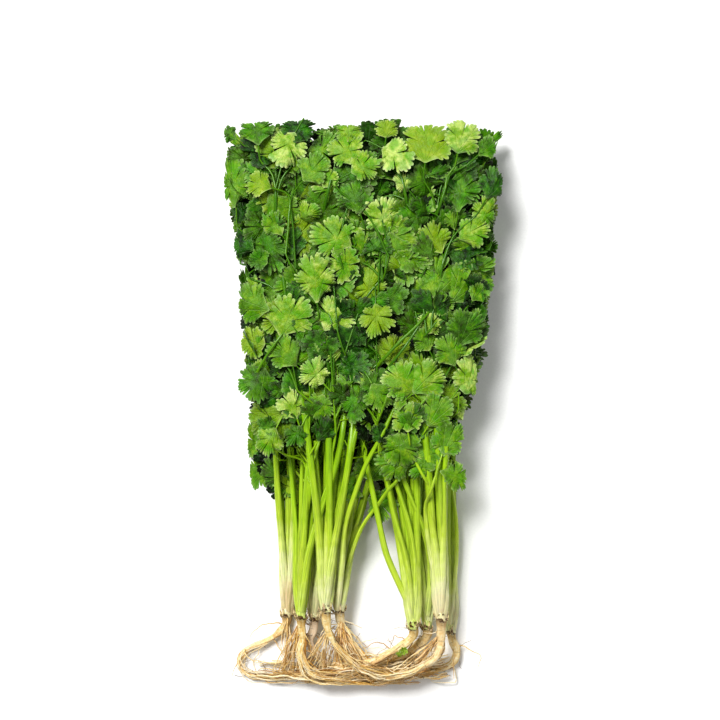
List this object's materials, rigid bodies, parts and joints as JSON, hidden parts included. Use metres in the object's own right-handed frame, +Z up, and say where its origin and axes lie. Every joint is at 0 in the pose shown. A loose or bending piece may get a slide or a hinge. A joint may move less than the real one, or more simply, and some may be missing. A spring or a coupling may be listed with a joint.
{
  "type": "coriander bunch",
  "caption": "Bunch of rooted coriander lying flat: slender green stalks run from pale crowns and curling tan taproots up to a broad block of cut, fan-shaped leaflets.",
  "frame": {"origin": "middle of the bunch's footprint, on the surface it lies on", "axes": "+Y from the roots to the leaf tips, +Z up from the surface, +X across the bunch"},
  "size_m": [0.1542, 0.3162, 0.0462],
  "materials": {
    "leaf": "fresh leaf, soft waxy sheen",
    "stalk": "fresh ribbed stalk, moist gloss",
    "root": "washed root skin, dry and wrinkled"
  },
  "bodies": {
    "root": {"plant_1_shoot": "leaf", "plant_1_root": "root", "plant_2_shoot": "leaf", "plant_2_root": "root", "plant_3_shoot": "leaf", "plant_3_root": "root", "plant_4_shoot": "leaf", "plant_4_root": "root", "plant_5_shoot": "leaf", "plant_5_root": "root", "plant_6_shoot": "leaf", "plant_6_root": "root", "plant_7_shoot": "leaf", "plant_7_root": "root", "plant_8_shoot": "leaf", "plant_8_root": "root", "plant_9_shoot": "leaf", "plant_9_root": "root"}
  },
  "joints": []
}
